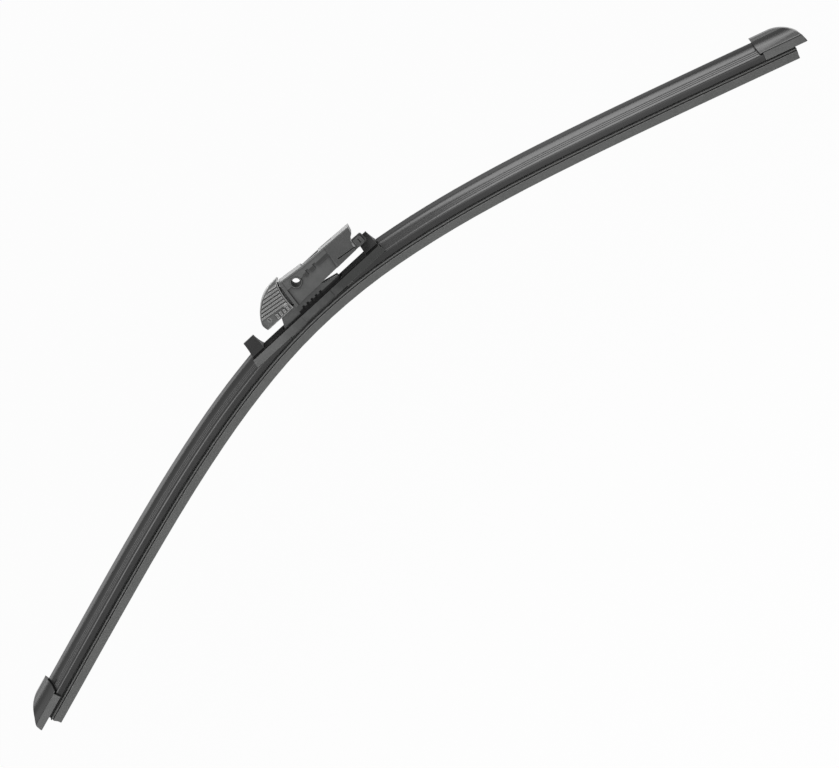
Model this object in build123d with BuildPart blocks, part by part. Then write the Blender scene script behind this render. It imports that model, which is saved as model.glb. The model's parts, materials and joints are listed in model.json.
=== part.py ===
"""Beam wiper blade with a pivoting arm adapter.

The pivot axis runs along Y through the origin, X runs along the blade and Z points away from
the glass. The windward side is -Y. All sizes are in millimetres.
"""

import os
from math import cos, sin

from build123d import *

# Blade and its bend
blade_length = 600.0  # rubber, measured along the bend
bend_radius = 287.4  # free rails at the pivot
bend_fade = 2.34  # power by which the bend fades towards the ends
bend_stretches = 6  # tangent arcs in each half, the last one straight
rail_drop = 19.77  # rail mid-plane below the pivot axis

# Spring rails
rail_width = 3.4
rail_thickness = 0.9
rail_setback = 3.0  # rail end inside the rubber's end
notch_setback = 3.0  # cap notch from the rail's end
notch_length = 2.4
notch_depth = 0.8
slide_clearance = 0.1  # around the rails, in rubber, spoiler and saddle

# Wiper rubber
web_width = 3.2  # between the two rails
head_width = 6.4
head_height = 1.0  # above the rail groove
flange_height = 0.8  # below the rail groove
neck_width = 1.2
neck_height = 0.9
neck_slope = 0.4  # fall of the flange and of the wings towards the neck
wing_width = 5.6
wing_height = 0.8
lip_groove_width = 3.0
lip_groove_height = 0.75
lip_root_width = 5.2
lip_height = 5.1
lip_thin_width = 1.3
lip_thin_height = 2.2
lip_edge_width = 0.7

# Spoiler
claw_wall = 1.0
claw_lip = 0.6  # thickness under the rail
claw_reach = 1.3  # grip under the rail
claw_round = 1.6
head_clearance = 0.2  # over and beside the rubber's head
shoulder_height = 2.4  # side corner above the rail mid-plane
crease_offset = 2.5  # foot of the windward curve, in front of the middle
crease_height = 4.85
spoiler_height = 9.4
ridge_offset = 1.5  # ridge behind the middle
ridge_width = 0.9
windward_hollow = 0.75  # depth of the windward curve
lee_hollow = 1.3  # depth of the curve on the far side
rib_grooves = 3  # the first one in the crease
rib_groove_size = 0.4
rib_groove_turn = 75.0
rib_pitch = 1.3
spoiler_root = 24.0  # inner end of each spoiler from the pivot
spoiler_setback = 16.0  # spoiler end inside the rubber's end

# End caps
cap_overlap = 21.5  # mouth at the ridge to the rubber's end
cap_overhang = 6.6  # tip past the rubber's end
cap_flat = 12.0  # level part of the cap's ridge
cap_fall = (20.8, 9.0)  # a point of the falling ridge, from the mouth and the rail mid-plane
cap_wall = 1.1
cap_rise = 1.1  # extra height of the cap's ridge
cap_clearance = 0.2
cap_rake = 1.8  # lean of the mouth above the skirt
cap_bottom = -0.9  # skirt's lower edge from the rail mid-plane
cap_tip = 3.4  # upper end of the tip's front from the rail mid-plane
cap_tip_rake = 1.5  # lean of the tip's front
cap_tip_round = 1.2
skirt_top = 3.5
skirt_step = 0.3  # skirt proud of the cap's side
skirt_setback = 3.3  # skirt's mouth behind the ridge's mouth
skirt_groove_height = 0.6
skirt_groove_depth = 0.5

# Saddle and pivot
bore_diameter = 4.85  # takes a side pin
tube_wall = 0.4
tube_chamfer = 0.3
tube_press = 0.01  # radial room in the saddle's cheeks
tube_running = 0.05  # radial room in the adapter
saddle_length = 44.0
saddle_plate = 1.0
cheek_gap = 3.4  # between the cheeks
cheek_wall = 1.2
cheek_back = 23.3  # foot of the cheeks, left of the pivot
cheek_rake = 3.2  # lean of the rear arm's end
cheek_step = 6.2  # height of the low rear arm over the base
cheek_neck = 7.0  # where the cheeks rise from the rear arm
cheek_boss = 3.9  # radius around the pivot
cheek_brow = (6.0, -7.5)
cheek_slope = (10.7, -11.2)  # where the front wedge starts
cheek_front = 19.2  # foot of the cheeks, right of the pivot
cheek_toe = 2.1  # height of the wedge's end over the base
grip_start = 12.0  # rail grips from the pivot
grip_length = 7.5
grip_sink = 0.15  # grip top below the saddle's top
notch_count = 5
notch_pitch = 3.2
notch_middle = -0.5
notch_width = 1.4
notch_rise = 0.3  # foot of the side notches over the base
notch_height = 2.0
notch_cut = 0.8

# Connector base
base_length = 98.6
base_drop = 15.2  # top face below the pivot axis
base_height = 5.3
base_rake = 1.2  # lean of the base's ends
base_plate = 1.1
base_wall = 0.9
base_clearance = 0.2
base_round = 0.6
base_seat = 0.05  # between plate and saddle
window_clearance = 1.6
rim_groove_offset = 1.5  # from the base's side
rim_groove_width = 0.6
rim_groove_depth = 0.5
panel_length = 21.6
panel_height = 4.2
panel_raise = 0.35
snap_length = 12.0
snap_height = 0.8
post_setback = 2.1  # post top from the base's end
post_width = 7.4
post_flare = 0.7  # growth of the post at its foot, on each side
post_height = 8.7
post_ridge_width = 1.4
post_hollow = 1.6

# Arm adapter
adapter_wall = 1.5
adapter_top = 1.2
cheek_clearance = 0.3
housing_back = 7.6  # rear edge at the top, left of the pivot
housing_lean = 2.2  # lean of the rear edge
housing_crown = 6.4  # top at the rear, above the pivot
housing_knee = (8.0, 4.6)  # where the top gets flatter
housing_bottom = 10.4  # lower edge below the pivot
chin_rise = 0.9  # rise of the lower edge towards the nose
nose_top = 3.2
nose_reach = 42.7
nose_lip = 4.1  # depth of the overhanging nose
nose_rake = 1.1  # lean of the nose's front
nose_notch = 4.0  # how far the notch cuts back
nose_notch_height = 2.0
nose_chin = 37.2
top_chamfer = 0.6
window_start = 7.8
window_length = 13.0
window_width = 5.2
window_lee = 0.85  # how much lower the lee wall is beside the window
slot_start = 23.0  # blind slot in the nose's top
slot_length = 7.5
slot_width = 0.9
slot_depth = 0.7
slot_offset = 2.4
band_depth = 0.2  # upper side band
band_margin = 0.9  # band below the top edge
band_end = (25.2, 3.0)
relief_depth = 0.9  # lower side panel
relief_rim = 1.6  # rim left at the rear edge
relief_lean = 2.9
relief_top = 0.0
relief_step = 6.2  # where the panel's upper edge steps down
relief_low = -1.5
finger_count = 2
finger_start = 9.2
finger_pitch = 5.3
finger_width = 1.9
finger_top = 1.4
tongue_start = 26.2
tongue_root = 2.9
tongue_tip = 1.6
tongue_slit = 0.6
latch_back = 39.4
latch_size = 5.0
latch_depth = 2.9
latch_inner = 3.0  # inner face of the latch plate from the middle
latch_round = 1.2
latch_drop = 9.1  # underside below the pivot
latch_slot = 0.9
latch_slot_length = 2.9
latch_slot_offset = 0.4
flange_margin = 1.0
flange_thickness = 1.2

# Release lever and its pin
pin_diameter = 2.0
pin_clearance = 0.03
pin_back = 13.5  # left of the pivot
pin_below = 5.5
pin_seat = 0.6  # pin end in the lever's side
pin_end_room = 0.1
pin_boss = 2.3
web_thickness = 2.6
web_inset = 1.2  # web's foot inside the housing's rear lower corner
lever_wall = 0.85
lever_inset = 0.2  # lever side inside the housing's side
lever_gap = 0.45  # to the housing's rear edge at the top
lever_gap_foot = 1.4
lever_front = (-10.9, -2.5)  # a point of the curved front edge
lever_lip = 1.15  # reach of the lip over the housing
lever_lip_room = 0.9
lever_crown = 8.8
lever_length = 31.9  # rear end from the pivot
lever_bottom = 9.5
lever_shoulder = (-14.2, 8.1)  # where the back starts to fall
lever_waist = (-25.1, 2.85)
lever_waist_normal = (0.57, -0.82)
lever_shoulder_normal = (0.33, -1.0)
lever_tail_height = 3.0
lever_tail_undercut = 1.0
lever_tail_round = 3.8
lever_crown_round = 3.4
rib_depth = 0.45
rib_margin = 0.9  # smooth rim around the ribs
rib_width = 1.1
rib_spacing = 1.95
rib_count = 7
rib_start = -4.3  # lowest rib at the lever's middle
rib_tilt = 8.0
bar_count = 4
bar_width = 1.4
bar_pitch = 2.4
bar_rise = -0.33
bar_start = -21.3
bar_height = 3.9
eye_place = (-25.9, -5.7)
eye_width = 1.1
eye_height = 1.9
eye_depth = 0.9

# Sizes that follow
half_length = blade_length / 2
stretch = half_length / bend_stretches
groove_half = rail_thickness / 2 + slide_clearance
rail_inner = web_width / 2 + slide_clearance
rail_outer = rail_inner + rail_width
claw_inner = rail_outer + slide_clearance
claw_outer = claw_inner + claw_wall
claw_bottom = -groove_half - claw_lip
head_top = groove_half + head_height
base_half = base_length / 2
base_inner = claw_outer + base_clearance
base_outer = base_inner + base_wall
plate_under = -base_drop - base_plate
tube_radius = bore_diameter / 2 + tube_wall
cheek_inner = cheek_gap / 2
cheek_outer = cheek_inner + cheek_wall
housing_inner = cheek_outer + cheek_clearance
housing_outer = housing_inner + adapter_wall
saddle_top = plate_under - base_seat
pin_radius = pin_diameter / 2
pin_half = housing_inner + pin_seat
cap_mouth = half_length - cap_overlap
cap_length = cap_overlap + cap_overhang


def curvature(i):
    """Mean curvature of stretch i: a free blade's bend fades with a power of the length left."""
    if i == bend_stretches - 1:
        return 0.0
    near = 1 - i / bend_stretches
    far = 1 - (i + 1) / bend_stretches
    power = bend_fade + 1
    return (near**power - far**power) * bend_stretches / (power * bend_radius)


def station(s):
    """x, z and slope of the rail mid-plane at the distance s along it from the pivot."""
    x, z, slope = 0.0, -rail_drop, 0.0
    left = abs(s)
    for i in range(bend_stretches):
        run = left if i == bend_stretches - 1 else min(left, stretch)
        bend = curvature(i)
        if bend:
            x += (sin(slope + bend * run) - sin(slope)) / bend
            z += (cos(slope + bend * run) - cos(slope)) / bend
        else:
            x += run * cos(slope)
            z -= run * sin(slope)
        slope += bend * run
        left -= run
    side = 1 if s >= 0 else -1
    return side * x, z, side * slope


def cross_plane(s):
    """Plane square to the blade at s: its x is Y and its y points away from the glass."""
    x, z, slope = station(s)
    return Plane(origin=(x, 0, z), x_dir=(0, 1, 0), z_dir=(cos(slope), 0, -sin(slope)))


def side_plane(s):
    """Plane along the blade at s, facing the windward side."""
    x, z, slope = station(s)
    return Plane(origin=(x, 0, z), x_dir=(cos(slope), 0, -sin(slope)), z_dir=(0, -1, 0))


def plan_plane(s):
    """Plane along the blade at s, facing away from the glass."""
    x, z, slope = station(s)
    return Plane(origin=(x, 0, z), x_dir=(cos(slope), 0, -sin(slope)), z_dir=(sin(slope), 0, cos(slope)))


def blade_line(start, stop):
    """Tangent arcs of the rail mid-plane from start to stop."""
    knots = [i * stretch for i in range(-bend_stretches, bend_stretches + 1)]
    marks = [start] + [k for k in knots if start < k < stop] + [stop]
    for a, b in zip(marks, marks[1:]):
        middle = (a + b) / 2
        if abs(middle) > half_length - stretch:
            Line(station(a)[:2], station(b)[:2])
        else:
            ThreePointArc(station(a)[:2], station(middle)[:2], station(b)[:2])


def rubber_face():
    """Section of the rubber: head, rail grooves, neck, wings and lip."""
    flange = -groove_half - flange_height
    neck_top = flange - neck_slope
    neck_foot = neck_top - neck_height
    wing_top = neck_foot - neck_slope
    wing_foot = wing_top - wing_height
    lip_root = wing_foot - lip_groove_height
    lip_end = lip_root - lip_height
    with BuildSketch() as section:
        with BuildLine():
            Polyline(
                (0, head_top),
                (head_width / 2, head_top),
                (head_width / 2, groove_half),
                (web_width / 2, groove_half),
                (web_width / 2, -groove_half),
                (head_width / 2, -groove_half),
                (head_width / 2, flange),
                (neck_width / 2, neck_top),
                (neck_width / 2, neck_foot),
                (wing_width / 2, wing_top),
                (wing_width / 2, wing_foot),
                (lip_groove_width / 2, wing_foot),
                (lip_groove_width / 2, lip_root),
                (lip_root_width / 2, lip_root),
                (lip_thin_width / 2, lip_end + lip_thin_height),
                (lip_edge_width / 2, lip_end),
                (0, lip_end),
            )
            mirror(about=Plane.YZ)
        make_face()
    return section.sketch


def spoiler_face(grow=0.0, rise=0.0, bottom=claw_bottom):
    """Filled outline of the spoiler, grown outwards for what slides over it."""
    side = claw_outer + grow
    shoulder = shoulder_height + grow
    crease = (-crease_offset - grow / 2, crease_height + grow)
    ridge = spoiler_height + grow + rise
    front = (ridge_offset - ridge_width / 2 - grow, ridge)
    back = (ridge_offset + ridge_width / 2 + grow, ridge)
    with BuildSketch() as section:
        with BuildLine():
            FilletPolyline((-side, bottom), (-side, shoulder), crease, radius=claw_round)
            SagittaArc(crease, front, -windward_hollow)
            Line(front, back)
            SagittaArc(back, (side, shoulder), -lee_hollow)
            Polyline((side, shoulder), (side, bottom), (-side, bottom))
        make_face()
    return section.sketch


def base_end(z):
    """Half length of the base at the height z: its ends lean in towards the top."""
    return base_half - base_rake * (z + base_drop + base_height) / base_height


def base_outline(grow, bottom, top):
    """Side view of the base between two heights."""
    with BuildSketch() as outline:
        with BuildLine():
            Polyline(
                (-base_end(bottom) - grow, bottom),
                (base_end(bottom) + grow, bottom),
                (base_end(top) + grow, top),
                (-base_end(top) - grow, top),
                close=True,
            )
        make_face()
    return outline.sketch


def at_height(a, b, z):
    """x where the line from a to b passes the height z."""
    return a[0] + (b[0] - a[0]) * (z - a[1]) / (b[1] - a[1])


def rail_slots():
    """What a claw leaves open: the rails' slot and the mouth under it."""
    mouth = claw_inner - claw_reach
    Rectangle(2 * claw_inner, 2 * groove_half, mode=Mode.SUBTRACT)
    with Locations((0, claw_bottom)):
        Rectangle(2 * mouth, -2 * claw_bottom, mode=Mode.SUBTRACT)


# Wiper rubber
with BuildPart() as wiper_rubber:
    with BuildLine(Plane.XZ) as rubber_path:
        blade_line(-half_length, half_length)
    with BuildSketch(cross_plane(-half_length)):
        add(rubber_face())
    sweep(path=rubber_path.line)

# Spring rails
rail_end = half_length - rail_setback
notch_place = rail_end - notch_setback - notch_length / 2
with BuildPart() as spring_rail_front:
    with BuildLine(Plane.XZ) as rail_path:
        blade_line(-rail_end, rail_end)
    with BuildSketch(cross_plane(-rail_end)):
        with Locations((-(rail_inner + rail_outer) / 2, 0)):
            Rectangle(rail_width, rail_thickness)
    sweep(path=rail_path.line)
    for s in (-notch_place, notch_place):
        with BuildSketch(plan_plane(s)):
            with Locations((0, -rail_outer)):
                Rectangle(notch_length, 2 * notch_depth)
        extrude(amount=rail_thickness, both=True, mode=Mode.SUBTRACT)

with BuildPart() as spring_rail_rear:
    add(spring_rail_front.part)
    mirror(about=Plane.XZ, mode=Mode.REPLACE)

# Spoiler halves
spoiler_end = half_length - spoiler_setback
with BuildPart() as spoiler_right:
    with BuildLine(Plane.XZ) as spoiler_path:
        blade_line(spoiler_root, spoiler_end)
    with BuildSketch(cross_plane(spoiler_root)):
        add(spoiler_face())
        rail_slots()
        with Locations((0, head_top / 2)):
            Rectangle(head_width + 2 * head_clearance, head_top + 2 * head_clearance, mode=Mode.SUBTRACT)
        foot = Vector(-claw_outer, shoulder_height) - Vector(-crease_offset, crease_height)
        for i in range(rib_grooves):
            groove = Vector(-crease_offset, crease_height) + foot.normalized() * rib_pitch * i
            with Locations((groove.X, groove.Y)):
                Rectangle(rib_groove_size, rib_groove_size, rotation=rib_groove_turn, mode=Mode.SUBTRACT)
    sweep(path=spoiler_path.line)
    with BuildSketch(Plane.XZ):
        add(base_outline(base_clearance, plate_under - base_clearance, 0))
    extrude(amount=2 * base_outer, both=True, mode=Mode.SUBTRACT)

with BuildPart() as spoiler_left:
    add(spoiler_right.part)
    mirror(about=Plane.YZ, mode=Mode.REPLACE)

# End caps
cap_grow = cap_clearance + cap_wall
cap_side = claw_outer + cap_grow
cap_half = cap_side + skirt_step
cap_ridge = spoiler_height + cap_grow + cap_rise
tip_top = (cap_length - cap_tip_rake, cap_tip)
with BuildPart() as end_cap_right:
    with BuildSketch(cross_plane(cap_mouth)):
        add(spoiler_face(cap_grow, cap_rise, cap_bottom))
        with Locations((0, cap_bottom)):
            Rectangle(2 * cap_half, skirt_top - cap_bottom, align=(Align.CENTER, Align.MIN))
        with Locations((-cap_side, skirt_top), (cap_side, skirt_top)):
            Rectangle(
                2 * skirt_groove_depth,
                skirt_groove_height,
                align=(Align.CENTER, Align.MIN),
                mode=Mode.SUBTRACT,
            )
    extrude(amount=cap_length)
    with BuildSketch(side_plane(cap_mouth)):
        with BuildLine():
            Polyline(
                tip_top,
                (cap_length, cap_bottom),
                (skirt_setback, cap_bottom),
                (skirt_setback, skirt_top),
                (cap_rake, skirt_top),
                (0, cap_ridge),
                (cap_flat, cap_ridge),
            )
            ThreePointArc((cap_flat, cap_ridge), cap_fall, tip_top)
        make_face()
    extrude(amount=2 * cap_half, both=True, mode=Mode.INTERSECT)
    with BuildSketch(plan_plane(cap_mouth)) as cap_plan:
        Rectangle(cap_length, 2 * cap_half, align=(Align.MIN, Align.CENTER))
        fillet(cap_plan.vertices().group_by(Axis.X)[-1], cap_tip_round)
    extrude(amount=2 * cap_ridge, both=True, mode=Mode.INTERSECT)
    with BuildSketch(cross_plane(cap_mouth)):
        add(spoiler_face(cap_clearance, 0, 2 * claw_bottom))
    extrude(amount=cap_overlap - spoiler_setback + cap_clearance, mode=Mode.SUBTRACT)
    with BuildSketch(cross_plane(cap_mouth)):
        with Locations((0, head_top + head_clearance)):
            Rectangle(2 * claw_inner, 4 * head_top, align=(Align.CENTER, Align.MAX))
    extrude(amount=cap_overlap + cap_clearance, mode=Mode.SUBTRACT)
    with BuildSketch(plan_plane(notch_place)):
        with Locations((0, -claw_inner), (0, claw_inner)):
            Rectangle(notch_length - 2 * slide_clearance, 2 * (notch_depth - slide_clearance))
    extrude(amount=rail_thickness / 2, both=True)

with BuildPart() as end_cap_left:
    add(end_cap_right.part)
    mirror(about=Plane.YZ, mode=Mode.REPLACE)

# Saddle: grips both rails and carries the pivot
grip_top = saddle_top - grip_sink + rail_drop
with BuildPart() as rail_saddle:
    with BuildLine(Plane.XZ) as grip_path:
        blade_line(grip_start, grip_start + grip_length)
    with BuildSketch(cross_plane(grip_start)):
        with Locations((0, claw_bottom)):
            Rectangle(2 * claw_outer, grip_top - claw_bottom, align=(Align.CENTER, Align.MIN))
        rail_slots()
        with Locations((0, head_top / 2)):
            Rectangle(head_width + 2 * head_clearance, head_top + 2 * head_clearance, mode=Mode.SUBTRACT)
    sweep(path=grip_path.line)
    mirror(about=Plane.YZ)
    with Locations((0, 0, saddle_top)):
        Box(saddle_length, 2 * claw_outer, saddle_plate, align=(Align.CENTER, Align.CENTER, Align.MAX))
    with BuildSketch(Plane.XZ.offset(cheek_inner)):
        Circle(cheek_boss)
        with BuildLine():
            cheek_foot = saddle_top - saddle_plate / 2
            step_top = -base_drop + cheek_step
            Polyline(
                (-cheek_back, cheek_foot),
                (-cheek_back, -base_drop),
                (-cheek_back + cheek_rake, step_top),
                (-cheek_neck, step_top),
                (-cheek_boss, 0),
                (cheek_boss, 0),
                cheek_brow,
                cheek_slope,
                (cheek_front, -base_drop + cheek_toe),
                (cheek_front, cheek_foot),
                close=True,
            )
        make_face()
        Circle(tube_radius + tube_press, mode=Mode.SUBTRACT)
    extrude(amount=cheek_wall)
    with Locations((notch_middle, -cheek_outer, -base_drop + notch_rise)):
        with GridLocations(notch_pitch, 1, notch_count, 1):
            Box(
                notch_width,
                2 * notch_cut,
                notch_height,
                align=(Align.CENTER, Align.CENTER, Align.MIN),
                mode=Mode.SUBTRACT,
            )
    mirror(about=Plane.XZ)

# Pivot tube
with BuildPart() as pivot_tube:
    with BuildSketch(Plane.XZ):
        Circle(tube_radius)
        Circle(bore_diameter / 2, mode=Mode.SUBTRACT)
    extrude(amount=housing_outer, both=True)
    chamfer(pivot_tube.edges().filter_by(GeomType.CIRCLE).group_by(SortBy.RADIUS)[0], tube_chamfer)

# Connector base
with BuildPart() as posts:
    with BuildSketch(Plane.YZ):
        with BuildLine():
            post_front = (ridge_offset - post_ridge_width / 2, -base_drop + post_height)
            post_back = (ridge_offset + post_ridge_width / 2, -base_drop + post_height)
            post_foot = -base_drop - base_round / 2
            SagittaArc((-base_inner, post_foot), post_front, -post_hollow)
            Line(post_front, post_back)
            SagittaArc(post_back, (base_inner, post_foot), -post_hollow)
            Polyline(
                (base_inner, post_foot),
                (base_inner, plate_under + base_round / 2),
                (-base_inner, plate_under + base_round / 2),
                (-base_inner, post_foot),
            )
        make_face()
    extrude(amount=base_half, both=True)
    with BuildSketch(Plane.XZ):
        for side in (-1, 1):
            outer = base_half - post_setback
            inner = outer - post_width
            with BuildLine():
                Polyline(
                    (side * outer, -base_drop + post_height),
                    (side * (outer + post_flare), -base_drop),
                    (side * (outer + post_flare), plate_under),
                    (side * (inner - post_flare), plate_under),
                    (side * (inner - post_flare), -base_drop),
                    (side * inner, -base_drop + post_height),
                    close=True,
                )
            make_face()
    extrude(amount=2 * base_outer, both=True, mode=Mode.INTERSECT)

with BuildPart() as connector_base:
    with BuildSketch(Plane.YZ.offset(-base_half)) as base_section:
        with Locations((0, -base_drop)):
            Rectangle(2 * base_outer, base_height, align=(Align.CENTER, Align.MAX))
        fillet(base_section.vertices().group_by(Axis.Y)[-1], base_round)
        rim_groove = base_outer - rim_groove_offset
        with Locations((-rim_groove, -base_drop), (rim_groove, -base_drop)):
            Rectangle(rim_groove_width, 2 * rim_groove_depth, mode=Mode.SUBTRACT)
        with Locations((0, plate_under)):
            Rectangle(2 * base_inner, base_height, align=(Align.CENTER, Align.MAX), mode=Mode.SUBTRACT)
    extrude(amount=base_length)
    with BuildSketch(Plane.XZ):
        add(base_outline(0, -base_drop - base_height, -base_drop))
    extrude(amount=2 * base_outer, both=True, mode=Mode.INTERSECT)
    add(posts.part)
    with Locations(((cheek_front - cheek_back) / 2, 0, -base_drop)):
        Box(
            cheek_front + cheek_back + 2 * window_clearance,
            2 * (cheek_outer + window_clearance),
            4 * base_plate,
            mode=Mode.SUBTRACT,
        )
    panel_middle = -base_drop - base_height / 2
    with Locations((0, base_outer, panel_middle), (0, -base_outer, panel_middle)):
        Box(panel_length, 2 * panel_raise, panel_height)
    snap_top = saddle_top - saddle_plate - base_seat
    with Locations((0, base_inner, snap_top), (0, -base_inner, snap_top)):
        Box(snap_length, 2 * base_wall, snap_height, align=(Align.CENTER, Align.CENTER, Align.MAX))

# Arm adapter
rear_top = (-housing_back, housing_crown)
rear_foot = (-housing_back - housing_lean, -housing_bottom)
chin_bottom = -housing_bottom + chin_rise
nose_tip = (nose_reach, nose_top)
nose_under = (nose_reach - nose_rake, nose_top - nose_lip)
nose_inside = (nose_reach - nose_notch, nose_top - nose_lip - nose_notch_height)
slit_tip = chin_bottom + tongue_tip
slit_root = chin_bottom + tongue_root
relief_foot = -housing_bottom - relief_depth
panel_left = (rear_foot[0] + relief_rim, relief_foot)
panel_right = (band_end[0] - relief_lean, relief_foot)
with BuildPart() as adapter_housing:
    with BuildSketch(Plane.XZ):
        with BuildLine():
            Polyline(
                rear_top,
                rear_foot,
                (nose_chin, chin_bottom),
                (nose_chin, slit_tip + tongue_slit),
                nose_inside,
                nose_under,
                nose_tip,
                housing_knee,
                close=True,
            )
        make_face()
    extrude(amount=housing_outer, both=True)
    top_edges = adapter_housing.faces().sort_by(Axis.Z)[-2:].edges().filter_by(Axis.Y, reverse=True)
    chamfer(top_edges, top_chamfer)
    with BuildSketch(Plane.XZ):
        with BuildLine():
            Polyline(
                (rear_foot[0], housing_crown - adapter_top),
                (rear_foot[0], -2 * housing_bottom),
                (nose_chin - adapter_wall, -2 * housing_bottom),
                (nose_chin - adapter_wall, slit_tip),
                (nose_inside[0] - 2 * adapter_wall, nose_inside[1]),
                (nose_inside[0] - adapter_wall, nose_top - adapter_top),
                (housing_knee[0], housing_knee[1] - adapter_top),
                (-housing_back, housing_crown - adapter_top),
                close=True,
            )
        make_face()
    extrude(amount=housing_inner, both=True, mode=Mode.SUBTRACT)
    with Locations((window_start, 0, 0)):
        Box(
            window_length,
            window_width,
            4 * housing_crown,
            align=(Align.MIN, Align.CENTER, Align.MIN),
            mode=Mode.SUBTRACT,
        )
    with Locations((window_start, 0, housing_knee[1] - window_lee)):
        Box(
            window_length,
            2 * housing_outer,
            housing_crown,
            align=(Align.MIN, Align.MIN, Align.MIN),
            mode=Mode.SUBTRACT,
        )
    with Locations((slot_start, slot_offset, nose_top - slot_depth)):
        Box(
            slot_length,
            slot_width,
            housing_crown,
            align=(Align.MIN, Align.CENTER, Align.MIN),
            mode=Mode.SUBTRACT,
        )
    for side in (-1, 1):
        with BuildSketch(Plane.XZ.offset(side * housing_outer)):
            with BuildLine():
                Polyline(
                    (rear_top[0] + relief_rim, housing_crown - band_margin),
                    panel_left,
                    panel_right,
                    band_end,
                    (housing_knee[0], housing_knee[1] - band_margin),
                    close=True,
                )
            make_face()
            Circle(tube_radius + tube_wall, mode=Mode.SUBTRACT)
        extrude(amount=band_depth, both=True, mode=Mode.SUBTRACT)
        with BuildSketch(Plane.XZ.offset(side * housing_outer)):
            with BuildLine():
                Polyline(
                    (at_height(rear_top, rear_foot, relief_top) + relief_rim, relief_top),
                    panel_left,
                    panel_right,
                    (at_height(band_end, panel_right, relief_low), relief_low),
                    (relief_step, relief_low),
                    (relief_step, relief_top),
                    close=True,
                )
            make_face()
            for i in range(finger_count):
                with Locations((finger_start + i * finger_pitch, finger_top)):
                    Rectangle(finger_width, finger_top - relief_low, align=(Align.CENTER, Align.MAX))
            Circle(tube_radius + tube_wall, mode=Mode.SUBTRACT)
        extrude(amount=relief_depth, both=True, mode=Mode.SUBTRACT)
    with BuildSketch(Plane.XZ.offset(housing_inner)):
        with BuildLine():
            Polyline(
                (tongue_start, slit_root),
                (nose_chin, slit_tip),
                (nose_reach, slit_tip),
                (nose_reach, slit_tip + tongue_slit),
                (nose_chin, slit_tip + tongue_slit),
                (tongue_start, slit_root + tongue_slit),
                close=True,
            )
        make_face()
    extrude(amount=2 * adapter_wall, mode=Mode.SUBTRACT)
    latch_middle = (latch_back + latch_size / 2, -latch_drop + latch_size / 2)
    with BuildSketch(Plane.XZ.offset(latch_inner)):
        with Locations(latch_middle):
            RectangleRounded(latch_size + 2 * flange_margin, latch_size + flange_margin, latch_round)
        with Locations((latch_back, chin_bottom + tongue_tip / 2)):
            Rectangle(2 * (latch_back - nose_chin + adapter_wall), tongue_tip)
    extrude(amount=flange_thickness)
    with BuildSketch(Plane.XZ.offset(latch_inner)):
        with Locations(latch_middle):
            RectangleRounded(latch_size, latch_size, latch_round)
    extrude(amount=latch_depth)
    with BuildSketch(Plane.XZ.offset(latch_inner + latch_depth)):
        with Locations((latch_middle[0] + latch_slot_offset, latch_middle[1])):
            Rectangle(latch_slot, latch_slot_length)
    extrude(amount=-latch_slot, mode=Mode.SUBTRACT)
    with BuildSketch(Plane.XZ):
        with BuildLine():
            Polyline(
                (-housing_back, housing_crown - adapter_top / 2),
                (-pin_back, -pin_below),
                (rear_foot[0] + web_inset, rear_foot[1] + web_inset),
                (-tube_wall, housing_crown - adapter_top),
                close=True,
            )
        make_face()
        with Locations((-pin_back, -pin_below)):
            Circle(pin_boss)
    extrude(amount=web_thickness / 2, both=True)
    with BuildSketch(Plane.XZ):
        with Locations((-pin_back, -pin_below)):
            Circle(pin_radius + pin_clearance)
    extrude(amount=web_thickness, both=True, mode=Mode.SUBTRACT)
    with BuildSketch(Plane.XZ):
        Circle(tube_radius + tube_running)
    extrude(amount=2 * housing_outer, both=True, mode=Mode.SUBTRACT)

# Release lever and its pin
lever_half = housing_outer - lever_inset
lip_under = housing_crown + lever_lip_room


def lever_side(inset=0.0, reach=0.0):
    """Side view of the thumb lever, drawn in by inset, and opened by reach at its front and underside."""
    shift = reach if reach else -inset
    crown = lever_crown - inset
    floor = -lever_bottom - shift
    tail = (-lever_length + inset, -lever_bottom + lever_tail_height)
    shoulder = Vector(lever_shoulder) + Vector(lever_shoulder_normal) * inset
    waist = Vector(lever_waist) + Vector(lever_waist_normal) * inset
    front_foot = (rear_foot[0] - lever_gap_foot + shift, floor)
    front_middle = (lever_front[0] + shift, lever_front[1])
    front_top = (-housing_back - lever_gap + shift, crown if reach else lip_under)
    with BuildSketch() as outline:
        with BuildLine():
            ThreePointArc(shoulder, waist, tail)
            Polyline(tail, (tail[0] + lever_tail_undercut, floor), front_foot)
            ThreePointArc(front_foot, front_middle, front_top)
            if reach:
                Line(front_top, shoulder)
            else:
                lip = front_top[0] + lever_lip
                Polyline(front_top, (lip, lip_under), (lip, crown), shoulder)
        make_face()
    return outline.sketch


def lever_body(slim=0.0, inset=0.0, reach=0.0):
    """Rounded thumb lever with its sides drawn in by slim and the whole by inset."""
    half = lever_half - slim - inset
    with BuildPart() as body:
        with BuildSketch(Plane.XZ):
            add(lever_side(inset, reach))
        extrude(amount=half, both=True)
        with BuildSketch(Plane.XY) as plan:
            with Locations((-lever_length + inset, 0)):
                Rectangle(2 * lever_length, 2 * half, align=(Align.MIN, Align.CENTER))
            fillet(plan.vertices().group_by(Axis.X)[0], lever_tail_round - inset)
        extrude(amount=2 * lever_length, both=True, mode=Mode.INTERSECT)
        with BuildSketch(Plane.YZ) as section:
            with Locations((0, lever_crown - inset)):
                Rectangle(2 * half, 2 * lever_length, align=(Align.CENTER, Align.MAX))
            fillet(section.vertices().group_by(Axis.Y)[-1], lever_crown_round - inset)
        extrude(amount=2 * lever_length, both=True, mode=Mode.INTERSECT)
    return body.part


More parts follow.
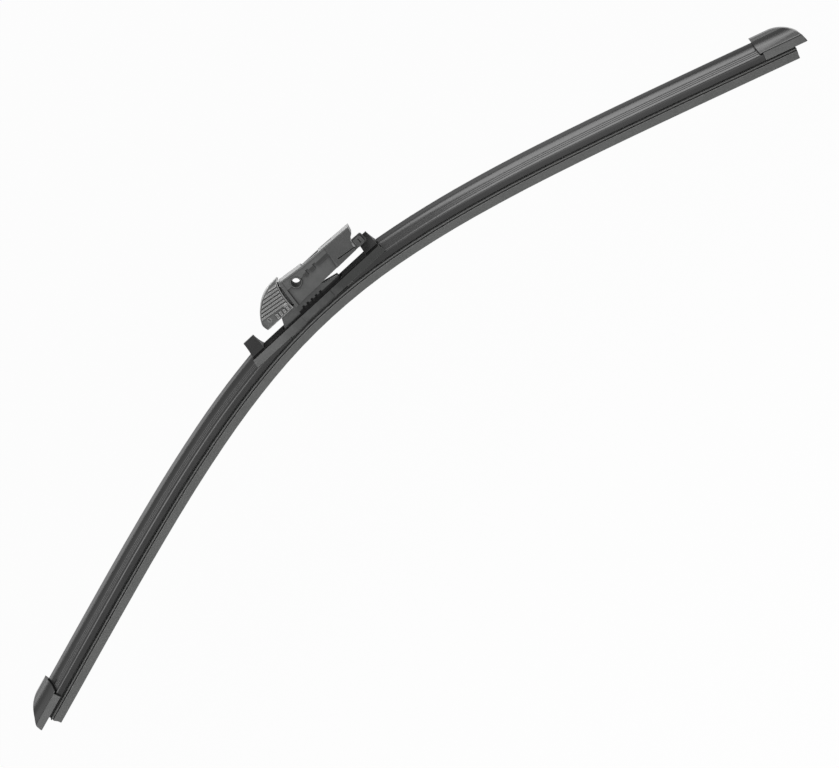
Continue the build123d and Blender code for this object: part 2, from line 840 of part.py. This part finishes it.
with BuildPart() as lever_grip:
    with BuildSketch(Plane.XZ):
        for i in range(rib_count):
            with Locations((-lever_length / 2, rib_start + i * rib_spacing)):
                Rectangle(2 * lever_length, rib_width, rotation=-rib_tilt)
        for i in range(bar_count):
            with Locations((bar_start + i * bar_pitch, -lever_bottom + i * bar_rise)):
                Rectangle(bar_width, 2 * bar_height, rotation=-rib_tilt)
        add(lever_side(rib_margin), mode=Mode.INTERSECT)
    extrude(amount=lever_half, both=True)
    add(lever_body(), mode=Mode.INTERSECT)

with BuildPart() as release_lever:
    add(lever_body(rib_depth))
    add(lever_grip.part)
    add(lever_body(rib_depth, lever_wall, lever_length), mode=Mode.SUBTRACT)
    with BuildSketch(Plane.XZ):
        with Locations((-pin_back, -pin_below)):
            Circle(pin_radius + pin_clearance)
    extrude(amount=pin_half + pin_end_room, both=True, mode=Mode.SUBTRACT)
    with Locations((eye_place[0], -lever_half, eye_place[1])):
        Box(eye_width, eye_depth * 2, eye_height, mode=Mode.SUBTRACT)

with BuildPart() as lever_pin:
    with BuildSketch(Plane.XZ):
        with Locations((-pin_back, -pin_below)):
            Circle(pin_radius)
    extrude(amount=pin_half, both=True)

pieces = {
    "wiper_rubber": wiper_rubber,
    "spring_rail_front": spring_rail_front,
    "spring_rail_rear": spring_rail_rear,
    "spoiler_left": spoiler_left,
    "spoiler_right": spoiler_right,
    "end_cap_left": end_cap_left,
    "end_cap_right": end_cap_right,
    "rail_saddle": rail_saddle,
    "pivot_tube": pivot_tube,
    "connector_base": connector_base,
    "adapter_housing": adapter_housing,
    "lever_pin": lever_pin,
    "release_lever": release_lever,
}
os.makedirs("parts", exist_ok=True)
for name, piece in pieces.items():
    piece.part.label = name
    export_step(piece.part, f"parts/{name}.step")
    print(name, piece.part.is_valid, len(piece.part.solids()), len(piece.part.faces()), piece.part.bounding_box())
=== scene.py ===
import json
import math

import bpy
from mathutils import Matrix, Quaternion, Vector

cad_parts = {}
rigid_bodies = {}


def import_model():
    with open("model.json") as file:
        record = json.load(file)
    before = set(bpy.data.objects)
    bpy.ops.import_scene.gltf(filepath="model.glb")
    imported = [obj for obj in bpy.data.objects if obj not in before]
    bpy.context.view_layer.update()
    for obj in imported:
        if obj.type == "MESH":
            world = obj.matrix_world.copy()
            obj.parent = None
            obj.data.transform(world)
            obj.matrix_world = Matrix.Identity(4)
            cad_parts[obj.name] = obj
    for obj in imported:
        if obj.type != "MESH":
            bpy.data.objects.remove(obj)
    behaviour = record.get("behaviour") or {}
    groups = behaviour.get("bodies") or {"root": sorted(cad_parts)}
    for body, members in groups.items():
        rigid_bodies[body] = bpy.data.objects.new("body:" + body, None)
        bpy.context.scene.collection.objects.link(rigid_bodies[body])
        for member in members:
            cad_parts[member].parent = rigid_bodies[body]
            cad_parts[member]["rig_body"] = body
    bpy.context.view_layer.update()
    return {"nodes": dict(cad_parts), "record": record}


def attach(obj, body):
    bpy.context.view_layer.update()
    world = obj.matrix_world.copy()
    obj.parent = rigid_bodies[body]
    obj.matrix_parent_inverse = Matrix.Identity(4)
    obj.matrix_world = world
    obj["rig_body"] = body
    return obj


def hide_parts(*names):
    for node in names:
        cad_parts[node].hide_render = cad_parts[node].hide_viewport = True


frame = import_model()
print("frame loaded:", len(frame["nodes"]), "nodes")

mm = 0.001  # the frame is in metres
middle = 0.5  # mean of a noise
plainWhite = (1.0, 1.0, 1.0, 1.0)
background = ("Is Camera Ray", "Is Glossy Ray", "Is Transmission Ray")  # rays that see a white studio
mixSocket = {"factor": 0, "first": 6, "second": 7, "result": 2}  # a Mix node's colour sockets
nearRays = {"samples": 8, "only_local": True}  # Ambient Occlusion within one piece


# Shader maths
class Value:
    # one socket of a node tree, with arithmetic that adds Math nodes
    def __init__(self, owner, socket):
        self.owner = owner
        self.socket = socket

    def math(self, operation, first, second):
        return self.owner.node("ShaderNodeMath", {"operation": operation}, {0: first, 1: second})

    def __add__(self, other):
        return self.math("ADD", self, other)

    def __radd__(self, other):
        return self.math("ADD", other, self)

    def __sub__(self, other):
        return self.math("SUBTRACT", self, other)

    def __rsub__(self, other):
        return self.math("SUBTRACT", other, self)

    def __mul__(self, other):
        return self.math("MULTIPLY", self, other)

    def __rmul__(self, other):
        return self.math("MULTIPLY", other, self)

    def __truediv__(self, other):
        return self.math("DIVIDE", self, other)

    def __rtruediv__(self, other):
        return self.math("DIVIDE", other, self)

    def __gt__(self, other):
        return self.math("GREATER_THAN", self, other)

    def swing(self, amount):
        # a noise, moved to vary about 0
        return (self - middle) * amount


class Tree:
    # a node tree, of a material or of the world
    def __init__(self, tree):
        self.tree = tree

    def node(self, kind, settings=None, sockets=None, out=0):
        made = self.tree.nodes.new(kind)
        for key, value in (settings or {}).items():
            setattr(made, key, value)
        for key, value in (sockets or {}).items():
            self.feed(made.inputs[key], value)
        return Value(self, made.outputs[out])

    def feed(self, target, value):
        if isinstance(value, Value):
            self.tree.links.new(value.socket, target)
        else:
            target.default_value = value

    def shown(self):
        # 1 for rays that see the background, straight or in a mirror, and 0 for light
        camera, glossy, clear = [self.node("ShaderNodeLightPath", out=name) for name in background]
        return camera + glossy + clear


class Finish(Tree):
    # one procedural material around a Principled shader
    def __init__(self, name, fixed):
        self.material = bpy.data.materials.new(name)
        self.material.use_nodes = True
        super().__init__(self.material.node_tree)
        self.shader = self.tree.nodes["Principled BSDF"]
        for socket, value in fixed.items():
            self.shader.inputs[socket].default_value = value

    def wear(self, socket, value):
        self.feed(self.shader.inputs[socket], value)

    def place(self):
        return self.node("ShaderNodeTexCoord", out="Object")

    def facing(self):
        return self.node("ShaderNodeTexCoord", out="Normal")

    def axes(self, vector, names):
        split = self.node("ShaderNodeSeparateXYZ", None, {0: vector}).socket.node
        return [Value(self, split.outputs[name]) for name in names]

    def noise(self, scale, detail, rough):
        sockets = {"Vector": self.place(), "Scale": scale, "Detail": detail, "Roughness": rough}
        return self.node("ShaderNodeTexNoise", None, sockets)

    def grain(self, height, strength, depth):
        sockets = {"Height": height, "Strength": strength, "Distance": depth}
        return self.node("ShaderNodeBump", None, sockets)

    def blend(self, factor, first, second):
        settings = {"data_type": "RGBA", "blend_type": "MIX"}
        sockets = {
            mixSocket["factor"]: factor,
            mixSocket["first"]: colour(first),
            mixSocket["second"]: colour(second),
        }
        return self.node("ShaderNodeMix", settings, sockets, out=mixSocket["result"])

    def hollow(self, reach):
        # towards 1 deep in a groove or an inner corner, 0 on open faces
        return 1 - self.node("ShaderNodeAmbientOcclusion", nearRays, {"Distance": reach}, out="AO")

    def crest(self, reach):
        # about 0.5 on a square outer edge, 0 on flat faces
        settings = {**nearRays, "inside": True}
        return 1 - self.node("ShaderNodeAmbientOcclusion", settings, {"Distance": reach}, out="AO")

    def paintHollowShade(self, tone, look):
        # painted shade: hollows darkened towards a dark colour by Ambient Occlusion
        return self.blend(self.hollow(look["hollowShadeReach"]) * look["hollowShade"], tone, look["deep"])

    def paintEdgeHighlight(self, tone, look):
        # painted highlight: outer edges paled towards a light colour, where they catch light
        return self.blend(self.crest(look["edgeHighlightReach"]) * look["edgeHighlight"], tone, look["rim"])

    def paintEdgeLightAndHollowShade(self, tone, look):
        # painted highlight on outer edges, then painted shade in the hollows
        return self.paintHollowShade(self.paintEdgeHighlight(tone, look), look)


def colour(value):
    return value if isinstance(value, Value) else (*value, 1.0)


# Finishes. A noise is its scale, detail and roughness, and a grain is its strength and depth.
# The swings say how far the first and second noise move a value. Painted shade darkens hollows
# towards a dark colour, and a painted highlight pales outer edges towards a light colour.
adapter = {
    "dark": (0.046, 0.047, 0.046), "light": (0.088, 0.089, 0.088), "ior": 1.5,
    "cloud": (90, 4.0, 0.6), "pits": (2600, 2.0, 0.7), "mottle": (1.6, 1.2),
    "rough": 0.38, "roughSwing": (0.22, 0.12), "grain": (0.45, 0.06 * mm),
    "deep": (0.003, 0.003, 0.003), "hollowShade": 4.2, "hollowShadeReach": 2.8 * mm,
    "rim": (0.180, 0.180, 0.178), "edgeHighlight": 0.6, "edgeHighlightReach": 0.35 * mm,
    "raised": 4.3 * mm, "strip": (-2.4 * mm, 0.6 * mm), "stripStart": 5.5 * mm,
    "nose": 24 * mm, "noseShare": 0.45, "shade": (0.004, 0.004, 0.004),
}
lever = {
    "dark": (0.060, 0.061, 0.060), "light": (0.090, 0.091, 0.090), "ior": 1.5,
    "cloud": (90, 4.0, 0.6), "pits": (2600, 2.0, 0.7), "mottle": (1.6, 1.2),
    "rough": 0.34, "roughSwing": (0.22, 0.12), "grain": (0.45, 0.06 * mm),
    "deep": (0.003, 0.003, 0.003), "hollowShade": 3.0, "hollowShadeReach": 1.0 * mm,
    "rim": (0.420, 0.420, 0.415), "edgeHighlight": 1.6, "edgeHighlightReach": 0.80 * mm,
}


def shaded(finish, tone, look):
    # painted shade: a darker nose, and a dark strip over the side panel, on the raised faces only
    x, y, z = finish.axes(finish.place(), "XYZ")
    low, high = look["strip"]
    raised = y * y > look["raised"] ** 2
    nose = raised * (x > look["nose"]) * look["noseShare"]
    strip = raised * (x > look["stripStart"]) * ((z > low) - (z > high)) * (1 - (x > look["nose"]))
    return finish.blend(strip, finish.blend(nose, tone, look["shade"]), look["shade"])


def mouldedPlastic(name, look):
    # spark-eroded mould skin: fine pits, soft clouding and uneven gloss
    finish = Finish(name, {"IOR": look["ior"]})
    cloud = finish.noise(*look["cloud"])
    pits = finish.noise(*look["pits"])
    mottle = middle + cloud.swing(look["mottle"][0]) + pits.swing(look["mottle"][1])
    tone = finish.blend(mottle, look["dark"], look["light"])
    if "shade" in look:
        tone = shaded(finish, tone, look)
    rough = look["rough"] + cloud.swing(look["roughSwing"][0]) + pits.swing(look["roughSwing"][1])
    # painted highlight on outer edges and painted shade in the hollows
    finish.wear("Base Color", finish.paintEdgeLightAndHollowShade(tone, look))
    finish.wear("Roughness", rough)
    finish.wear("Normal", finish.grain(pits, *look["grain"]))
    return finish.material


endCap = {
    "dark": (0.004, 0.004, 0.004), "light": (0.009, 0.009, 0.009), "ior": 1.5,
    "cloud": (90, 4.0, 0.6), "pits": (1800, 2.0, 0.7),
    "skirt": (0.110, 0.111, 0.110), "skirtShare": 0.6, "skirtCloud": 0.6,
    "upright": 0.97,  # a face is skirt where its normal lies this far along Y
    "rough": 0.24, "roughSwing": 0.2, "skirtRough": 0.22, "grain": (0.08, 0.06 * mm),
    "deep": (0.002, 0.002, 0.002), "hollowShade": 1.4, "hollowShadeReach": 1.0 * mm,
}


def capPlastic(name, look):
    # glossy crown over a matt skirt, paler on the faces that look along Y
    finish = Finish(name, {"IOR": look["ior"]})
    [across] = finish.axes(finish.facing(), "Y")
    skirt = across * across > look["upright"] ** 2
    cloud = finish.noise(*look["cloud"])
    pits = finish.noise(*look["pits"])
    crown = finish.blend(cloud, look["dark"], look["light"])
    share = skirt * (look["skirtShare"] + cloud * look["skirtCloud"])
    rough = look["rough"] + cloud.swing(look["roughSwing"]) + skirt * look["skirtRough"]
    # painted shade in the hollows over the crown and skirt colours
    finish.wear("Base Color", finish.paintHollowShade(finish.blend(share, crown, look["skirt"]), look))
    finish.wear("Roughness", rough)
    finish.wear("Normal", finish.grain(pits, *look["grain"]))
    return finish.material


basePlate = {
    "top": -15.2 * mm, "depth": 0.5 * mm,
    "dark": (0.050, 0.051, 0.050), "light": (0.130, 0.131, 0.130), "ior": 1.5, "gloss": 0.1,
    "paintedLight": 0.35, "paintedLightCloud": 1.1, "paintedLightReach": 60 * mm,
    # matt is the top's near-black colour, painted shade
    "matt": (0.002, 0.002, 0.002), "post": (0.028, 0.028, 0.028),
    "cloud": (90, 4.0, 0.6), "pits": (2200, 2.0, 0.7),
    "rough": 0.40, "roughSwing": 0.22, "topRough": 0.6, "grain": (0.25, 0.06 * mm),
    "deep": (0.004, 0.004, 0.004), "hollowShade": 1.4, "hollowShadeReach": 1.0 * mm,
    "rim": (0.160, 0.160, 0.158), "edgeHighlight": 0.5, "edgeHighlightReach": 0.35 * mm,
}


def basePlastic(name, look):
    # paler towards one end as painted light, with a matt top whose near-black colour is painted
    # shade, and dark posts
    finish = Finish(name, {"IOR": look["ior"], "Specular IOR Level": look["gloss"]})
    x, z = finish.axes(finish.place(), "XZ")
    # the top's near-black colour is painted shade from the parts above it
    upper = z > look["top"] - look["depth"]
    post = z > look["top"] + look["depth"]
    cloud = finish.noise(*look["cloud"])
    pits = finish.noise(*look["pits"])
    # painted light: the side paler towards low x
    paintedLight = look["paintedLight"] + cloud.swing(look["paintedLightCloud"]) - x / look["paintedLightReach"]
    side = finish.blend(paintedLight, look["dark"], look["light"])
    tone = finish.blend(upper, side, finish.blend(post, look["matt"], look["post"]))
    rough = look["rough"] + cloud.swing(look["roughSwing"]) + (upper - post) * look["topRough"]
    # painted highlight on outer edges and painted shade in the hollows
    finish.wear("Base Color", finish.paintEdgeLightAndHollowShade(tone, look))
    finish.wear("Roughness", rough)
    finish.wear("Normal", finish.grain(pits, *look["grain"]))
    return finish.material


spoiler = {
    "dark": (0.004, 0.004, 0.004), "light": (0.009, 0.009, 0.009), "ior": 1.5,
    "cloud": (60, 4.0, 0.6), "skin": (1800, 2.0, 0.6),
    "rough": 0.24, "roughSwing": (0.16, 0.1), "grain": (0.10, 0.05 * mm),
    "grooveReach": 0.5 * mm, "grooveRough": 0.7,
}


def spoilerRubber(name, look):
    # extruded soft profile with a slick satin skin, matt in the grooves between its ribs
    finish = Finish(name, {"IOR": look["ior"]})
    cloud = finish.noise(*look["cloud"])
    skin = finish.noise(*look["skin"])
    groove = finish.hollow(look["grooveReach"]) * look["grooveRough"]
    rough = look["rough"] + cloud.swing(look["roughSwing"][0]) + skin.swing(look["roughSwing"][1])
    finish.wear("Base Color", finish.blend(cloud, look["dark"], look["light"]))
    finish.wear("Roughness", rough + groove)
    finish.wear("Normal", finish.grain(skin, *look["grain"]))
    return finish.material


lip = {
    "dark": (0.100, 0.102, 0.100), "light": (0.142, 0.144, 0.141), "ior": 1.45,
    "cloud": (45, 5.0, 0.65), "dust": (2400, 2.0, 0.7), "mottle": (1.4, 1.0),
    "rough": 0.55, "roughSwing": (0.2, 0.15), "grain": (0.2, 0.05 * mm),
    "deep": (0.003, 0.003, 0.003), "hollowShade": 2.0, "hollowShadeReach": 1.0 * mm,
    "rim": (0.360, 0.360, 0.355), "edgeHighlight": 1.3, "edgeHighlightReach": 0.35 * mm,
}


def lipRubber(name, look):
    # dry graphite coat on the wiping rubber
    finish = Finish(name, {"IOR": look["ior"]})
    cloud = finish.noise(*look["cloud"])
    dust = finish.noise(*look["dust"])
    mottle = middle + cloud.swing(look["mottle"][0]) + dust.swing(look["mottle"][1])
    rough = look["rough"] + cloud.swing(look["roughSwing"][0]) + dust.swing(look["roughSwing"][1])
    # painted highlight on outer edges and painted shade in the hollows
    finish.wear("Base Color", finish.paintEdgeLightAndHollowShade(finish.blend(mottle, look["dark"], look["light"]), look))
    finish.wear("Roughness", rough)
    finish.wear("Normal", finish.grain(dust, *look["grain"]))
    return finish.material


saddle = {
    "dark": (0.078, 0.079, 0.078), "light": (0.105, 0.106, 0.105), "metal": 0.0, "gloss": 0.15,
    "cloud": (120, 4.0, 0.6), "fine": (3000, 2.0, 0.6),
    "rough": 0.45, "roughSwing": 0.2, "grain": (0.15, 0.04 * mm),
    "deep": (0.002, 0.002, 0.002), "hollowShade": 5.0, "hollowShadeReach": 2.0 * mm,
    # the foot's dark band is painted shade
    "foot": -13.5 * mm, "footLeft": -11 * mm, "footFade": 0.5 * mm,
}
rail = {
    "dark": (0.008, 0.008, 0.008), "light": (0.012, 0.012, 0.012), "metal": 0.0, "gloss": 0.5,
    "cloud": (120, 4.0, 0.6), "fine": (3000, 2.0, 0.6),
    "rough": 0.80, "roughSwing": 0.2, "grain": (0.15, 0.04 * mm),
    "deep": (0.002, 0.002, 0.002), "hollowShade": 1.0, "hollowShadeReach": 1.0 * mm,
}
pin = {
    "dark": (0.385, 0.385, 0.378), "light": (0.550, 0.550, 0.540), "metal": 1.0, "gloss": 0.5,
    "cloud": (120, 4.0, 0.6), "fine": (3000, 2.0, 0.6),
    "rough": 0.28, "roughSwing": 0.2, "grain": (0.15, 0.04 * mm),
    "deep": (0.100, 0.100, 0.100), "hollowShade": 1.0, "hollowShadeReach": 1.0 * mm,
}


def steelSkin(name, look):
    # black coat or plating, with painted shade in the hollows
    finish = Finish(name, {"Metallic": look["metal"], "Specular IOR Level": look["gloss"]})
    cloud = finish.noise(*look["cloud"])
    fine = finish.noise(*look["fine"])
    tone = finish.blend(cloud, look["dark"], look["light"])
    if "foot" in look:  # painted shade on the foot under the saddle's notches
        x, z = finish.axes(finish.place(), "XZ")
        low = finish.blend((look["foot"] - z) / look["footFade"], tone, look["deep"])
        tone = finish.blend((x - look["footLeft"]) / look["footFade"], tone, low)
    # painted shade in the hollows
    finish.wear("Base Color", finish.paintHollowShade(tone, look))
    finish.wear("Roughness", look["rough"] + cloud.swing(look["roughSwing"]))
    finish.wear("Normal", finish.grain(fine, *look["grain"]))
    return finish.material


finishes = {
    "wiper_rubber": lipRubber("lipRubber", lip),
    "spoiler_rubber": spoilerRubber("spoilerRubber", spoiler),
    "cap_plastic": capPlastic("capPlastic", endCap),
    "base_plastic": basePlastic("basePlastic", basePlate),
    "adapter_plastic": mouldedPlastic("adapterPlastic", adapter),
    "lever_plastic": mouldedPlastic("leverPlastic", lever),
    "saddle_casting": steelSkin("saddleCoat", saddle),
    "spring_steel": steelSkin("railCoat", rail),
    "plated_steel": steelSkin("platedSteel", pin),
}
print("finishes made:", len(finishes))


# Skins: merged copies of the frame's pieces, with smooth shading. A width breaks the edges too.
edgeWidth = {
    "wiper_rubber": 0.22 * mm, "spoiler_left": 0, "spoiler_right": 0,
    "end_cap_left": 0, "end_cap_right": 0, "rail_saddle": 0.15 * mm,
    "connector_base": 0, "adapter_housing": 0, "release_lever": 0,
}
skin = {
    "merge": 0.001 * mm,
    "flat": math.radians(0.05),  # triangles this near to one plane become one face
    "sharp": math.radians(32),
    "segments": 2,
}
slotOf = {sub["node"]: sub["material_slot"] for sub in frame["record"]["subparts"]}


def dress(piece, node):
    piece.data.materials.clear()
    piece.data.materials.append(finishes[slotOf[node]])


def skinNode(node, width):
    source = frame["nodes"][node]
    piece = bpy.data.objects.new(node + "Skin", source.data.copy())
    bpy.context.scene.collection.objects.link(piece)
    bpy.ops.object.select_all(action="DESELECT")
    piece.select_set(True)
    bpy.context.view_layer.objects.active = piece
    bpy.ops.mesh.customdata_custom_splitnormals_clear()  # the frame's normals don't outlive a merge
    bpy.ops.object.mode_set(mode="EDIT")
    bpy.ops.mesh.select_all(action="SELECT")
    bpy.ops.mesh.remove_doubles(threshold=skin["merge"])
    if width:
        bpy.ops.mesh.dissolve_limited(angle_limit=skin["flat"])
    bpy.ops.object.mode_set(mode="OBJECT")
    if width:
        soft = piece.modifiers.new("soften", "BEVEL")
        soft.width = width
        soft.segments = skin["segments"]
        soft.limit_method = "ANGLE"
        soft.angle_limit = skin["sharp"]
        bpy.ops.object.modifier_apply(modifier=soft.name)
    bpy.ops.object.shade_smooth_by_angle(angle=skin["sharp"])
    dress(piece, node)
    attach(piece, source["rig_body"])
    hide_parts(node)


for node, width in edgeWidth.items():
    skinNode(node, width)
for node, source in frame["nodes"].items():
    if node not in edgeWidth:
        dress(source, node)
print("pieces dressed:", len(edgeWidth), "with a skin")


# Floor and world, white to the rays that see them and plain grey to light
stand = {"drop": 0.55, "side": 120.0, "tone": (0.82, 0.82, 0.82, 1.0), "rough": 0.9, "white": 0.97}
bpy.ops.mesh.primitive_plane_add(size=stand["side"], location=(0, 0, -stand["drop"]))
floor = bpy.context.object
floor.name = "floor"
pale = Finish("paleFloor", {"Base Color": stand["tone"], "Roughness": stand["rough"]})
glow = pale.node("ShaderNodeEmission", None, {"Color": plainWhite, "Strength": 1.0})
matt = Value(pale, pale.shader.outputs["BSDF"])
mixed = pale.node("ShaderNodeMixShader", None, {0: pale.shown() * stand["white"], 1: matt, 2: glow})
pale.feed(pale.tree.nodes["Material Output"].inputs["Surface"], mixed)
floor.data.materials.append(pale.material)

room = {"light": 0.14, "white": 1.0}
world = bpy.data.worlds.new("studio")
bpy.context.scene.world = world
world.use_nodes = True
sky = world.node_tree.nodes["Background"]
sky.inputs["Color"].default_value = plainWhite
air = Tree(world.node_tree)
air.feed(sky.inputs["Strength"], room["light"] + air.shown() * (room["white"] - room["light"]))

# Lamps, in metres and in radiance, all turned to one point
lampAim = (0, 0, -0.04)
lamps = {
    "over": {"from": (0.47, -0.19, 0.95), "wide": 1.04, "tall": 0.68, "radiance": 5.0},
    "left": {"from": (-0.74, -1.10, 0.44), "wide": 0.70, "tall": 0.74, "radiance": 4.4},
    "low": {"from": (-0.56, -1.18, 0.00), "wide": 0.55, "tall": 0.16, "radiance": 4.0},
    "front": {"from": (0.24, -1.20, 0.30), "wide": 0.48, "tall": 1.25, "radiance": 1.6},
    "back": {"from": (-0.15, 1.15, 0.33), "wide": 0.50, "tall": 0.50, "radiance": 1.6},
}
for name, lamp in lamps.items():
    bpy.ops.object.light_add(type="AREA", location=lamp["from"])
    made = bpy.context.object
    made.name = name
    made.visible_camera = False
    made.data.shape = "RECTANGLE"
    made.data.size = lamp["wide"]
    made.data.size_y = lamp["tall"]
    made.data.energy = lamp["radiance"] * math.pi * lamp["wide"] * lamp["tall"]
    aim = Vector(lampAim) - Vector(lamp["from"])
    made.rotation_euler = aim.to_track_quat("-Z", "Y").to_euler()
print("studio lit:", len(lamps), "lamps")

# Camera at the photograph's viewing angle
shot = {
    "target": (0.00858, 0.0, -0.09232),
    "azimuth": math.radians(10.28),
    "elevation": math.radians(14.39),
    "roll": math.radians(44.61),
    "distance": 1.343,
    "lens": 101.35,
    "sensor": 36.0,
    "nearest": 0.01,
}
level = math.cos(shot["elevation"])
toCamera = Vector((
    math.sin(shot["azimuth"]) * level,
    -math.cos(shot["azimuth"]) * level,
    math.sin(shot["elevation"]),
))
bpy.ops.object.camera_add(location=Vector(shot["target"]) + toCamera * shot["distance"])
camera = bpy.context.object
camera.rotation_mode = "QUATERNION"
facing = (-toCamera).to_track_quat("-Z", "Y")
camera.rotation_quaternion = facing @ Quaternion((0, 0, 1), -shot["roll"])
camera.data.sensor_fit = "HORIZONTAL"
camera.data.sensor_width = shot["sensor"]
camera.data.lens = shot["lens"]
camera.data.clip_start = shot["nearest"]
bpy.context.scene.camera = camera
bpy.context.scene.view_settings.view_transform = "Standard"
print("camera set")
